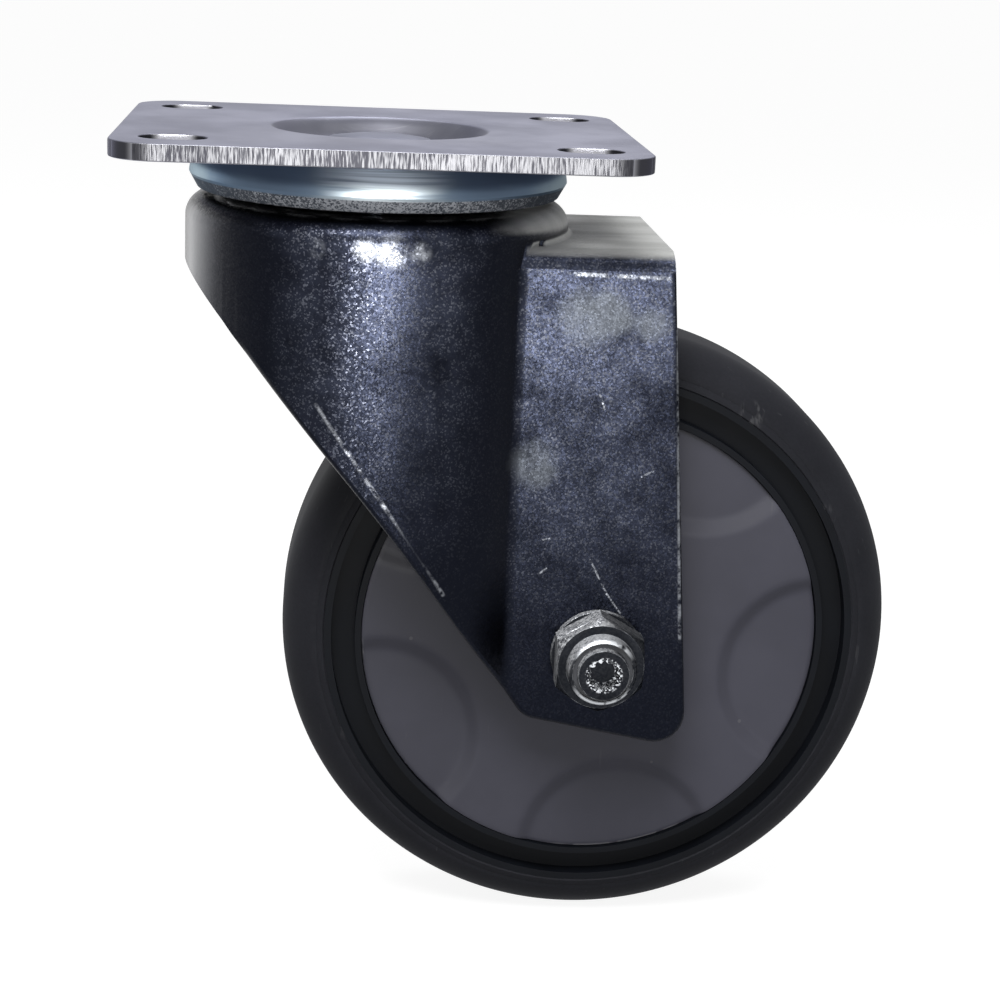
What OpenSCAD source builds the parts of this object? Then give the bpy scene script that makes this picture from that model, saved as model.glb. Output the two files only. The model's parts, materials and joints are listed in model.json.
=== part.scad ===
// Swivel castor with a top plate, a pressed fork and a rubber-tyred wheel.
// Origin on the swivel axis at the plate's upper face, +Z up, the wheel trails towards +X.

/* [Overall] */
// Height from the floor to the plate's upper face
overall_h = 162; // [150:1:190]
// Distance from the swivel axis back to the wheel axle
trail = 45; // [36:0.5:52]

/* [Top plate] */
// Length of the plate along X
plate_l = 100; // [96:1:140]
// Width of the plate along Y
plate_w = 85; // [80:1:120]
// Sheet thickness of the plate
plate_t = 3.25; // [2.5:0.25:5]
// Radius of the plate corners
plate_corner_r = 9; // [4:0.5:12]
// Spacing of the fixing slots along X
slot_pitch_x = 77; // [72:0.5:82]
// Spacing of the fixing slots along Y
slot_pitch_y = 60; // [56:0.5:66]
// Width of each fixing slot
slot_w = 9; // [6:0.5:10]
// Overall length of each fixing slot
slot_l = 12.5; // [11:0.5:15]
// Diameter of the pressed dish at the plate face
dish_d = 44; // [40:0.5:47]
// Diameter of the flat floor of the dish
dish_floor_d = 33; // [28:0.5:35]
// Depth of the dish
dish_depth = 4; // [3:0.25:5]

/* [Swivel head] */
// Outer diameter of the race dish
race_d = 74.6; // [72:0.2:80]
// Sheet thickness of the race dish
race_t = 2.4; // [2:0.1:3]
// Height of the sheared edge of the race dish
race_edge_h = 2.9; // [2:0.1:3.4]
// Inward slope of the sheared edge of the race dish
race_edge_in = 1.6; // [0.8:0.1:2]
// Running gap between the race dish and the fork crown
swivel_gap = 1.3; // [0.6:0.05:1.6]
// Diameter of the upper balls
ball_d = 8; // [7.5:0.1:9]
// Pitch diameter of the upper balls
ball_pitch_d = 58; // [56:0.5:60]
// Depth of the upper ball tracks
upper_track = 0.27; // [0.2:0.01:0.5]
// Diameter of the lower balls
lower_ball_d = 6; // [5:0.25:7]
// Pitch diameter of the lower balls
lower_pitch_d = 35; // [33:0.5:40]
// Depth of the lower ball tracks
lower_track = 0.45; // [0.3:0.05:0.6]
// Sheet thickness of the lower race cup
lower_race_t = 2.4; // [2:0.1:3]
// Running clearance between a ball and its races
ball_gap = 0.12; // [0.08:0.02:0.2]
// Clearance between neighbouring balls
ball_space = 0.35; // [0.2:0.05:0.6]
// Diameter of the kingpin
kingpin_d = 12; // [10:0.5:14]
// Diameter of the kingpin shoulder between the races
shoulder_d = 17; // [15:0.5:20]
// Diameter of the kingpin head in the dish
head_d = 22; // [18:0.5:26]
// Height of the kingpin head
head_h = 2.8; // [2:0.1:2.9]
// Diameter of the riveted lower end of the kingpin
rivet_d = 19; // [16:0.5:22]
// Height of the riveted lower end of the kingpin
rivet_h = 3; // [2:0.1:4]

/* [Fork] */
// Outer diameter of the fork crown
crown_d = 76; // [74:0.5:82]
// Sheet thickness of the fork
fork_t = 3; // [2.5:0.25:4]
// Inner bend radius of the crown shoulder
crown_bend_in = 1.5; // [1:0.25:3]
// Straight wall between the crown shoulder and the deck blend
deck_wall = 0.2; // [0.1:0.1:3]
// Radius of the hollow blend between deck and crown
deck_fillet_r = 1.1; // [0.6:0.1:2.4]
// Outer width over the legs
fork_w = 54; // [51:0.5:58]
// Inner bend radius between deck and legs
leg_bend_in = 0.75; // [0.5:0.25:2]
// Radius of the hollow fold between crown and legs
fold_r = 4; // [2:0.5:6]
// Clearance hole in the crown around the kingpin
crown_bore_d = 26; // [24:0.5:28]
// Depth of the front skirt below the crown top
skirt_h = 12.8; // [10:0.1:14]
// Distance of the brow corner ahead of the swivel axis
brow_x = 29.6; // [26:0.2:32]
// Depth of the brow corner below the crown top
brow_drop = 21.5; // [18:0.1:24]
// Rear edge of the fork behind the swivel axis at deck height
deck_x = 56; // [52:0.5:62]
// Front lower corner of the leg ahead of the axle
toe_x = 14.1; // [12:0.1:18]
// Front lower corner of the leg below the axle
toe_drop = 13.7; // [12:0.1:18]
// Rear lower corner of the leg behind the axle
heel_x = 19.3; // [16:0.1:24]
// Rear lower corner of the leg below the axle
heel_drop = 20.25; // [17:0.25:24]
// Radius of the front lower corner
toe_r = 5; // [3:0.5:7]
// Radius of the rear lower corner
heel_r = 6; // [3:0.5:8]
// Distance by which the slanted front edge is drawn in at its middle
waist_in = 2.6; // [1:0.2:6]
// Radius of the drawn-in middle of the slanted front edge
waist_r = 300; // [150:10:320]
// Radius of the brow corner
brow_r = 3; // [1:0.5:6]

/* [Wheel] */
// Diameter of the wheel over the tyre
wheel_d = 125; // [122:1:130]
// Width of the tyre
tyre_w = 31.8; // [31:0.2:34]
// Shoulder radius of the tyre
tyre_shoulder_r = 10.5; // [8:0.5:12]
// Diameter at which the tyre sits on the rim flanges
rim_d = 108; // [106:0.5:110]
// Depth of the rim groove that holds the tyre
rim_groove = 2.5; // [1.5:0.25:3]
// Width of the rim groove that holds the tyre
rim_groove_w = 20; // [16:0.5:22]
// Width over the rim flanges
rim_w = 31; // [30:0.2:31.2]
// Radial thickness of each rim flange
flange_t = 1.4; // [1:0.1:2]
// Depth of the shadow groove beside the cover
side_groove = 3.4; // [2:0.2:4]
// Radial thickness of the lip around the cover
lip_t = 1.2; // [0.8:0.1:1.6]
// Inner diameter of the rim band
band_d = 87; // [84:0.5:89]
// Thickness of the rim web
web_t = 6; // [4:0.5:8]
// Number of ribs on each side of the web
rib_count = 10; // [5:1:14]
// Thickness of each rib
rib_t = 2.4; // [1.6:0.2:3]
// Outer diameter of the hub
hub_d = 30.4; // [29:0.2:32]
// Fit of the tyre on the rim
tyre_fit = 0.02; // [0.01:0.01:0.1]

/* [Wheel covers] */
// Diameter of each cover
cover_d = 92.8; // [91.8:0.2:93.6]
// Thickness of each cover
cover_t = 2.2; // [1.8:0.1:2.8]
// Width over the outer faces of the covers
cover_w = 32.8; // [32:0.2:33.6]
// Clearance around the cover's edge and its centre hole
cover_gap = 0.15; // [0.1:0.05:0.25]
// Number of scallops in each cover
scallop_count = 5; // [3:1:6]
// Diameter of each scallop
scallop_d = 43; // [36:1:46]
// Distance of each scallop's centre from the axle
scallop_pitch_r = 48; // [46:0.5:52]
// Depth of each scallop
scallop_depth = 1; // [0.4:0.1:1.2]
// Width of the sloping wall of each scallop
scallop_slope = 3.8; // [1:0.2:4]
// Angle of the lowest scallop from straight down
scallop_turn = 7; // [0:1:60]

/* [Axle] */
// Diameter of the axle bolt
axle_d = 10; // [9:0.5:11]
// Running clearance around the bolt
axle_gap = 0.08; // [0.04:0.02:0.15]
// Outer diameter of the axle sleeve
sleeve_d = 15; // [14:0.5:16]
// Bore of the hub for the rollers
hub_bore_d = 23.4; // [22.4:0.2:24]
// Running clearance between a roller and its raceways
roller_gap = 0.1; // [0.06:0.02:0.16]
// Number of rollers
roller_count = 10; // [8:1:11]
// Length of each roller
roller_l = 32; // [26:1:34]
// Thickness of the cage's end rings
cage_ring_t = 1.6; // [1.2:0.2:2]
// Clearance between the rollers and the cage bars
cage_gap = 0.46; // [0.3:0.02:0.6]
// Radial height of the cage bars and rings
cage_h = 2.6; // [2:0.2:3]
// Running clearance along the axle
side_gap = 0.3; // [0.2:0.05:0.4]
// Thickness of the spacer rings
spacer_t = 2; // [1:0.1:4]
// Outer diameter of the spacer rings
spacer_d = 24.4; // [22:0.2:28]
// Outer diameter of the washers
washer_d = 18.4; // [17.6:0.2:22]
// Thickness of the washers
washer_t = 1.6; // [1.2:0.2:2.4]
// Width across the flats of nut and bolt head
hex_af = 17; // [16:0.5:18]
// Height of the bolt head
bolt_head_h = 6.4; // [5:0.2:8]
// Height of the nut's hexagon
nut_hex_h = 6.6; // [5:0.2:8]
// Overall height of the nut with its collar
nut_h = 10; // [9:0.2:12]
// Outer diameter of the nut's collar
collar_d = 13.6; // [13:0.2:15.4]
// Wall of the nut's collar
collar_wall = 0.9; // [0.7:0.1:1.2]
// Height of the locking ring in the collar
ring_h = 2.2; // [1.6:0.2:2.6]
// Length of the bolt end beyond the nut
bolt_end = 1.6; // [0.6:0.2:3]
// Diameter over the teeth of the serrated recess in the bolt end
recess_d = 6.6; // [5.5:0.1:7]
// Depth of the serrated teeth
recess_tooth = 0.7; // [0.4:0.1:0.9]
// Depth of the serrated recess
recess_depth = 3; // [2:0.2:4]
// Number of serrated teeth
recess_teeth = 12; // [8:1:14]

/* [Hidden] */
$fn = 72;

// Fit of pieces that are riveted or screwed together
fixed_fit = 0.03;
// Extra reach of a cutting shape past the face that it cuts
cut = 1;
// Steps in a rounded corner and in the wall of the dish
round_steps = 8;
dish_steps = 12;

steel = [0.66, 0.68, 0.72];
dark_steel = [0.30, 0.32, 0.40];
bright_steel = [0.80, 0.81, 0.83];
rubber = [0.19, 0.19, 0.21];
black_plastic = [0.06, 0.07, 0.08];
grey_plastic = [0.30, 0.30, 0.33];
nylon = [0.75, 0.78, 0.82];

// Levels of the swivel head, downwards from the plate face
dish_under_z = -plate_t - dish_depth;
hub_under_z = dish_under_z - race_t;
race_top_z = -plate_t;
race_ceiling_z = race_top_z - race_t;
crown_z = race_ceiling_z - ball_d - 2 * ball_gap + 2 * upper_track;
race_edge_z = crown_z + swivel_gap;
race_rim_z = race_edge_z + race_edge_h;
crown_under_z = crown_z - fork_t;
ball_z = (race_ceiling_z + crown_z) / 2;
lower_ball_z = crown_under_z - lower_ball_d / 2 - ball_gap + lower_track;
cup_floor_z = lower_ball_z - lower_ball_d / 2 - ball_gap + lower_track;
cup_under_z = cup_floor_z - lower_race_t;
rivet_z = cup_under_z - rivet_h;

// Radii of the swivel head
race_r = race_d / 2;
ball_pitch_r = ball_pitch_d / 2;
track_r = ball_d / 2 + ball_gap;
lower_track_r = lower_ball_d / 2 + ball_gap;
cup_wall_r = lower_pitch_d / 2 + lower_ball_d / 2 + 2 * ball_gap + lower_race_t / 2;
cup_r = cup_wall_r + lower_race_t;
ball_count = floor(PI * ball_pitch_d / (ball_d + ball_space));
lower_count = floor(PI * lower_pitch_d / (lower_ball_d + ball_space));

// Fork
crown_r = crown_d / 2;
crown_bend_r = crown_bend_in + fork_t;
leg_bend_r = leg_bend_in + fork_t;
deck_z = crown_z - crown_bend_r - deck_wall - deck_fillet_r;
fork_hw = fork_w / 2;
leg_in = fork_hw - fork_t;
axle_z = wheel_d / 2 - overall_h;
skirt_z = crown_z - skirt_h;
brow_z = crown_z - brow_drop;
toe = [trail - toe_x, axle_z - toe_drop];
heel = [trail + heel_x, axle_z - heel_drop];
brow = [-brow_x, brow_z];
waist = (toe + brow) / 2 + waist_in * [brow.y - toe.y, toe.x - brow.x] / norm(toe - brow);
rear_slope = (heel.x - deck_x) / (deck_z - heel.y);
skirt_slope = (skirt_z - brow_z) / (crown_r - brow_x);

// Wheel
wheel_r = wheel_d / 2;
tyre_hw = tyre_w / 2;
rim_r = rim_d / 2;
rim_hw = rim_w / 2;
cover_r = cover_d / 2;
cover_face = cover_w / 2;
cover_seat = cover_face - cover_t;
pocket_r = cover_r + cover_gap;
lip_r = pocket_r + lip_t;
hub_r = hub_d / 2;
hub_hl = leg_in - spacer_t - side_gap;
hub_bore_r = hub_bore_d / 2;
band_r = band_d / 2;

// Axle
axle_r = axle_d / 2;
sleeve_r = sleeve_d / 2;
roller_pitch_r = (hub_bore_r + sleeve_r) / 2;
roller_r = (hub_bore_r - sleeve_r) / 2 - roller_gap;
cage_ring_y = roller_l / 2 + side_gap;
cage_bar_w = 2 * (roller_pitch_r * sin(180 / roller_count) - roller_r - cage_gap);
nut_y = -fork_hw - washer_t;
nut_end = nut_y - nut_h;
bolt_end_y = nut_end - bolt_end;
head_y = fork_hw + washer_t;
hex_r = hex_af / sqrt(3);
ring_r = collar_d / 2 - collar_wall;

function unit(v) = v / norm(v);

// Points of the arc that rounds corner q between its neighbours p and s
function corner(p, q, s, r) = r <= 0 ? [q] :
    let (
        u = unit(p - q),
        v = unit(s - q),
        half = acos(u * v) / 2,
        c = q + unit(u + v) * r / sin(half),
        a = q + u * r / tan(half) - c,
        b = q + v * r / tan(half) - c,
        start = atan2(a.y, a.x),
        sweep = (atan2(b.y, b.x) - start + 540) % 360 - 180
    )
    [for (i = [0 : round_steps])
        c + r * [cos(start + sweep * i / round_steps), sin(start + sweep * i / round_steps)]];

// Outline through the given corners, each rounded to its own radius
function rounded(pts, radii) =
    let (n = len(pts))
    [for (i = [0 : n - 1]) each corner(pts[(i + n - 1) % n], pts[i], pts[(i + 1) % n], radii[i])];

// Smooth rise from 0 to 1
function ease(t) = t * t * (3 - 2 * t);

// Height of the plate's upper face at radius r inside the dish
function dish_z(r) = -dish_depth * (1 - ease((r - dish_floor_d / 2) / (dish_d / 2 - dish_floor_d / 2)));

module rounded_rect(w, h, r) {
    square([w - 2 * r, h], center = true);
    square([w, h - 2 * r], center = true);
    for (sx = [-1, 1], sy = [-1, 1])
        translate([sx * (w / 2 - r), sy * (h / 2 - r)])
            circle(r);
}

module slot_outline(l, w) {
    square([l - w, w], center = true);
    for (s = [-1, 1])
        translate([s * (l - w) / 2, 0])
            circle(w / 2);
}

// Places a shape's Z axis on the wheel axle, with -Z towards the near side
module on_axle() {
    translate([trail, 0, axle_z])
        rotate([-90, 0, 0])
            children();
}

module ring(r_out, r_in, h) {
    difference() {
        cylinder(r = r_out, h = h);
        translate([0, 0, -cut])
            cylinder(r = r_in, h = h + 2 * cut);
    }
}

module ball_track(pitch_r, z, r) {
    translate([0, 0, z])
        rotate_extrude()
            translate([pitch_r, 0])
                circle(r);
}

module ball_ring(count, pitch_r, z, d) {
    for (i = [0 : count - 1])
        rotate(i * 360 / count)
            translate([pitch_r, 0, z])
                sphere(d = d);
}

// Pressed section of the dish, from the pin hole to a flat lap in the plate around the dish rim
module dish_section() {
    radii = [for (i = [0 : dish_steps]) dish_floor_d / 2 + (dish_d - dish_floor_d) / 2 * i / dish_steps];
    upper = [for (r = radii) [r, dish_z(r)]];
    lower = [for (i = [dish_steps : -1 : 0]) [radii[i], dish_z(radii[i]) - plate_t]];
    bore_r = kingpin_d / 2 + fixed_fit;
    lap_r = dish_d / 2 + plate_t;
    polygon(concat(
        [[bore_r, dish_under_z], [bore_r, -dish_depth]],
        upper,
        [[lap_r, 0], [lap_r, -plate_t]],
        lower
    ));
}

module top_plate() {
    color(steel)
    difference() {
        union() {
            difference() {
                translate([0, 0, -plate_t])
                    linear_extrude(plate_t)
                        rounded_rect(plate_l, plate_w, plate_corner_r);
                translate([0, 0, -plate_t - cut])
                    cylinder(d = dish_d, h = plate_t + 2 * cut);
            }
            rotate_extrude()
                dish_section();
        }
        for (sx = [-1, 1], sy = [-1, 1])
            translate([sx * slot_pitch_x / 2, sy * slot_pitch_y / 2, -plate_t - cut])
                linear_extrude(plate_t + 2 * cut)
                    slot_outline(slot_l, slot_w);
    }
}

// Inverted dish: a hub under the plate's dish, a raised annulus over the balls and a rounded rim
module race_dish() {
    bore_r = kingpin_d / 2 + fixed_fit;
    rise_in = dish_floor_d / 2 + race_t;
    rise_out = dish_d / 2 + race_t;
    brim_r = race_r - race_t / 10;
    brim_z = (race_ceiling_z + race_rim_z) / 2;
    edge_r = race_r - race_edge_in;
    color(steel)
    difference() {
        rotate_extrude()
            polygon(rounded(
                [
                    [bore_r, dish_under_z], [rise_in, dish_under_z], [rise_out, race_top_z],
                    [brim_r - race_t, race_top_z], [brim_r, brim_z], [race_r, race_rim_z],
                    [edge_r, race_edge_z], [edge_r - race_t / 3, race_edge_z],
                    [brim_r - race_t, brim_z], [brim_r - 2 * race_t, race_ceiling_z],
                    [rise_out + race_t / 3, race_ceiling_z], [rise_in + race_t / 3, hub_under_z],
                    [bore_r, hub_under_z]
                ],
                [
                    0, race_t / 2, race_t, race_t, 2 * race_t, race_t / 8, race_t / 8, race_t / 8,
                    race_t / 2, race_t / 3, race_t / 2, race_t, 0
                ]
            ));
        ball_track(ball_pitch_r, ball_z, track_r);
    }
}

module kingpin() {
    pin_r = kingpin_d / 2;
    crest = head_h / 3;
    color(bright_steel)
    rotate_extrude()
        polygon([
            [0, rivet_z], [rivet_d / 2 - rivet_h / 2, rivet_z], [rivet_d / 2, rivet_z + rivet_h / 2],
            [rivet_d / 2, cup_under_z], [pin_r, cup_under_z], [pin_r, cup_floor_z],
            [shoulder_d / 2, cup_floor_z], [shoulder_d / 2, hub_under_z], [pin_r, hub_under_z],
            [pin_r, -dish_depth], [head_d / 2, -dish_depth], [head_d / 2, head_h - dish_depth - 2 * crest],
            [head_d / 2 - crest, head_h - dish_depth - crest], [head_d / 4, head_h - dish_depth - crest / 4],
            [0, head_h - dish_depth]
        ]);
}

module lower_race() {
    bore_r = kingpin_d / 2 + fixed_fit;
    wall_top = lower_ball_z + lower_race_t / 4;
    color(steel)
    difference() {
        rotate_extrude()
            polygon(rounded(
                [
                    [bore_r, cup_under_z], [cup_r, cup_under_z], [cup_r, wall_top],
                    [cup_wall_r, wall_top], [cup_wall_r, cup_floor_z], [bore_r, cup_floor_z]
                ],
                [0, lower_race_t, lower_race_t / 4, lower_race_t / 4, lower_race_t / 4, 0]
            ));
        ball_track(lower_pitch_d / 2, lower_ball_z, lower_track_r);
    }
}

module upper_balls() {
    color(bright_steel)
    ball_ring(ball_count, ball_pitch_r, ball_z, ball_d);
}

module lower_balls() {
    color(bright_steel)
    ball_ring(lower_count, lower_pitch_d / 2, lower_ball_z, lower_ball_d);
}

// Side outline of the pressed fork, X along the trail and Y up
module fork_side() {
    top = crown_z + crown_bend_r;
    front = -crown_r - crown_bend_r;
    polygon(rounded(
        [
            [front, top], [deck_x - rear_slope * (top - deck_z), top], heel, toe,
            waist, brow, [front, skirt_z + skirt_slope * crown_bend_r]
        ],
        [0, 0, heel_r, toe_r, waist_r, brow_r, 0]
    ));
}

// Cross-section of the leg channel with rounded upper bends
module channel_section(hw, top, r) {
    low = heel.y - cut;
    translate([-hw, low])
        square([2 * hw, top - r - low]);
    translate([r - hw, low])
        square([2 * (hw - r), top - low]);
    for (s = [-1, 1])
        translate([s * (hw - r), top - r])
            circle(r);
}

// Vertical web that fills the hollow fold between a round crown of radius r and a flat leg at hw
module fold_plan(r, hw, fr) {
    c = [sqrt((crown_r + fold_r) * (crown_r + fold_r) - (fork_hw + fold_r) * (fork_hw + fold_r)), fork_hw + fold_r];
    meet = sqrt(r * r - hw * hw);
    start = atan2(-c.y, -c.x);
    sweep = -90 - start;
    for (s = [0, 1])
        mirror([0, s])
            polygon(concat(
                [for (i = [0 : round_steps])
                    c + fr * [cos(start + sweep * i / round_steps), sin(start + sweep * i / round_steps)]],
                [[meet, hw - fold_r]]
            ));
}

// Solid fork form: round crown, leg channel and the folds between them, drawn in by the sheet offset
module fork_form(inset) {
    r = crown_r - inset;
    top = crown_z - inset;
    bend = crown_bend_r - inset;
    hw = fork_hw - inset;
    low = heel.y - cut;
    leg_bend = leg_bend_r - inset;
    rotate_extrude()
        union() {
            translate([0, low])
                square([r, top - bend - low]);
            translate([0, low])
                square([r - bend, top - low]);
            translate([r - bend, top - bend])
                circle(bend);
        }
    rotate([90, 0, 90])
        linear_extrude(heel.x + cut)
            channel_section(hw, deck_z - inset, leg_bend);
    translate([0, 0, low])
        linear_extrude(deck_z - leg_bend_r - low)
            fold_plan(r, hw, fold_r + inset);
}

// Hollow blend where the deck runs into the crown
module deck_blend() {
    reach = crown_r + deck_fillet_r;
    span = asin((fork_hw - leg_bend_r) / reach);
    root = crown_r - fork_t / 2;
    foot = deck_z - fork_t / 2;
    hollow = [for (i = [0 : round_steps])
        [reach, deck_z + deck_fillet_r]
            - deck_fillet_r * [sin(90 * i / round_steps), cos(90 * i / round_steps)]];
    rotate([0, 0, -span])
        rotate_extrude(angle = 2 * span)
            polygon(concat([[root, foot], [reach, foot]], hollow, [[root, deck_z + deck_fillet_r]]));
}

module fork() {
    color(dark_steel)
    difference() {
        intersection() {
            union() {
                fork_form(0);
                deck_blend();
            }
            translate([0, crown_r + cut, 0])
                rotate([90, 0, 0])
                    linear_extrude(crown_d + 2 * cut)
                        fork_side();
        }
        fork_form(fork_t);
        translate([0, 0, crown_under_z - cut])
            cylinder(d = crown_bore_d, h = fork_t + 2 * cut);
        ball_track(ball_pitch_r, ball_z, track_r);
        ball_track(lower_pitch_d / 2, lower_ball_z, lower_track_r);
        on_axle()
            translate([0, 0, -crown_r])
                cylinder(r = axle_r + axle_gap, h = crown_d);
    }
}

// Hexagon with a corner straight up and its outer corners turned off
module hexagon(h) {
    intersection() {
        rotate(90)
            cylinder(r = hex_r, h = h, $fn = 6);
        translate([0, 0, -cut])
            cylinder(r1 = hex_r + (h + cut) / 2, r2 = hex_af / 2, h = h + cut);
    }
}

module recess_outline() {
    tip = recess_d / 2;
    root = tip - recess_tooth;
    n = 2 * recess_teeth;
    polygon([for (i = [0 : n - 1])
        (i % 2 == 0 ? tip : root) * [cos(i * 360 / n), sin(i * 360 / n)]]);
}

module axle_bolt() {
    color(bright_steel)
    on_axle()
        difference() {
            union() {
                translate([0, 0, bolt_end_y])
                    cylinder(r = axle_r, h = head_y - bolt_end_y);
                translate([0, 0, head_y])
                    hexagon(bolt_head_h);
            }
            translate([0, 0, bolt_end_y - cut])
                linear_extrude(recess_depth + cut)
                    recess_outline();
        }
}

module axle_nut() {
    color(bright_steel)
    on_axle()
        translate([0, 0, nut_y])
            mirror([0, 0, 1])
                difference() {
                    union() {
                        hexagon(nut_hex_h);
                        rotate_extrude()
                            polygon(rounded(
                                [[0, 0], [collar_d / 2, 0], [collar_d / 2, nut_h], [0, nut_h]],
                                [0, 0, collar_wall, 0]
                            ));
                    }
                    translate([0, 0, -cut])
                        cylinder(r = axle_r + fixed_fit, h = nut_h + 2 * cut);
                    translate([0, 0, nut_h - ring_h])
                        cylinder(r = ring_r, h = ring_h + cut);
                }
}

module nut_ring() {
    color(nylon)
    on_axle()
        translate([0, 0, nut_end + collar_wall / 2])
            ring(ring_r - fixed_fit, axle_r + fixed_fit, ring_h - collar_wall / 2);
}

module washer_near() {
    color(bright_steel)
    on_axle()
        translate([0, 0, nut_y])
            ring(washer_d / 2, axle_r + axle_gap, washer_t);
}

module washer_far() {
    color(bright_steel)
    on_axle()
        translate([0, 0, fork_hw])
            ring(washer_d / 2, axle_r + axle_gap, washer_t);
}

module axle_sleeve() {
    color(bright_steel)
    on_axle()
        translate([0, 0, -leg_in])
            ring(sleeve_r, axle_r + axle_gap, 2 * leg_in);
}

// Ring that fills the gap between the hub's end and a leg
module spacer() {
    translate([0, 0, hub_hl + side_gap])
        ring(spacer_d / 2, sleeve_r + axle_gap, spacer_t);
}

module spacer_near() {
    color(steel)
    on_axle()
        mirror([0, 0, 1])
            spacer();
}

module spacer_far() {
    color(steel)
    on_axle()
        spacer();
}

module tyre() {
    flat_hw = tyre_hw - tyre_shoulder_r;
    seat_r = rim_r + tyre_fit;
    color(rubber)
    on_axle()
        rotate_extrude()
            difference() {
                union() {
                    translate([0, -flat_hw])
                        square([wheel_r, 2 * flat_hw]);
                    translate([0, -tyre_hw])
                        square([wheel_r - tyre_shoulder_r, tyre_w]);
                    for (s = [-1, 1])
                        translate([wheel_r - tyre_shoulder_r, s * flat_hw])
                            circle(tyre_shoulder_r);
                }
                translate([0, -tyre_w])
                    square([seat_r - rim_groove, 2 * tyre_w]);
                for (s = [0, 1])
                    mirror([0, s])
                        translate([0, rim_groove_w / 2])
                            square([seat_r, tyre_w]);
            }
}

// Half section of the rim, from the hub bore out to the tyre seat
module rim_section() {
    groove_y = rim_hw - side_groove;
    groove_hw = rim_groove_w / 2 + tyre_fit;
    lip_y = cover_face - cover_gap;
    polygon([
        [hub_bore_r, 0], [hub_bore_r, hub_hl], [hub_r, hub_hl], [hub_r, web_t / 2],
        [band_r, web_t / 2], [band_r, cover_seat], [pocket_r, cover_seat], [pocket_r, lip_y],
        [lip_r, lip_y], [lip_r, groove_y], [rim_r - flange_t, groove_y], [rim_r - flange_t, rim_hw],
        [rim_r, rim_hw], [rim_r, groove_hw], [rim_r - rim_groove, groove_hw], [rim_r - rim_groove, 0]
    ]);
}

module wheel_rim() {
    color(black_plastic)
    on_axle() {
        rotate_extrude()
            for (s = [0, 1])
                mirror([0, s])
                    rim_section();
        for (i = [0 : rib_count - 1])
            rotate(i * 360 / rib_count)
                translate([hub_r - rib_t / 4, -rib_t / 2, -cover_seat + rib_t])
                    cube([band_r - hub_r + rib_t / 2, rib_t, 2 * (cover_seat - rib_t)]);
    }
}

// Cover with its outer face towards +Z
module cover() {
    floor_r = scallop_d / 2 - scallop_slope;
    difference() {
        translate([0, 0, cover_seat])
            ring(cover_r, hub_r + cover_gap, cover_t);
        for (i = [0 : scallop_count - 1])
            rotate(90 + scallop_turn + i * 360 / scallop_count)
                translate([scallop_pitch_r, 0, cover_face - scallop_depth])
                    cylinder(r1 = floor_r, r2 = floor_r + 2 * scallop_slope, h = 2 * scallop_depth);
    }
}

module cover_near() {
    color(grey_plastic)
    on_axle()
        mirror([0, 0, 1])
            cover();
}

module cover_far() {
    color(grey_plastic)
    on_axle()
        cover();
}

module roller_cage() {
    r_in = roller_pitch_r - cage_h / 2;
    r_out = roller_pitch_r + cage_h / 2;
    color(nylon)
    on_axle() {
        for (s = [0, 1])
            mirror([0, 0, s])
                translate([0, 0, cage_ring_y])
                    ring(r_out, r_in, cage_ring_t);
        for (i = [0 : roller_count - 1])
            rotate((i + 1 / 2) * 360 / roller_count)
                translate([r_in + cage_h / 4, -cage_bar_w / 2, -cage_ring_y - cage_ring_t / 2])
                    cube([cage_h / 2, cage_bar_w, 2 * cage_ring_y + cage_ring_t]);
    }
}

module roller_needles() {
    color(bright_steel)
    on_axle()
        for (i = [0 : roller_count - 1])
            rotate(i * 360 / roller_count)
                translate([roller_pitch_r, 0, -roller_l / 2])
                    cylinder(r = roller_r, h = roller_l);
}

top_plate();
race_dish();
kingpin();
lower_race();
upper_balls();
lower_balls();
fork();
axle_bolt();
axle_nut();
nut_ring();
washer_near();
washer_far();
axle_sleeve();
spacer_near();
spacer_far();
tyre();
wheel_rim();
cover_near();
cover_far();
roller_cage();
roller_needles();
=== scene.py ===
import json
import math
import bmesh
import bpy
from mathutils import Matrix, Vector

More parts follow.
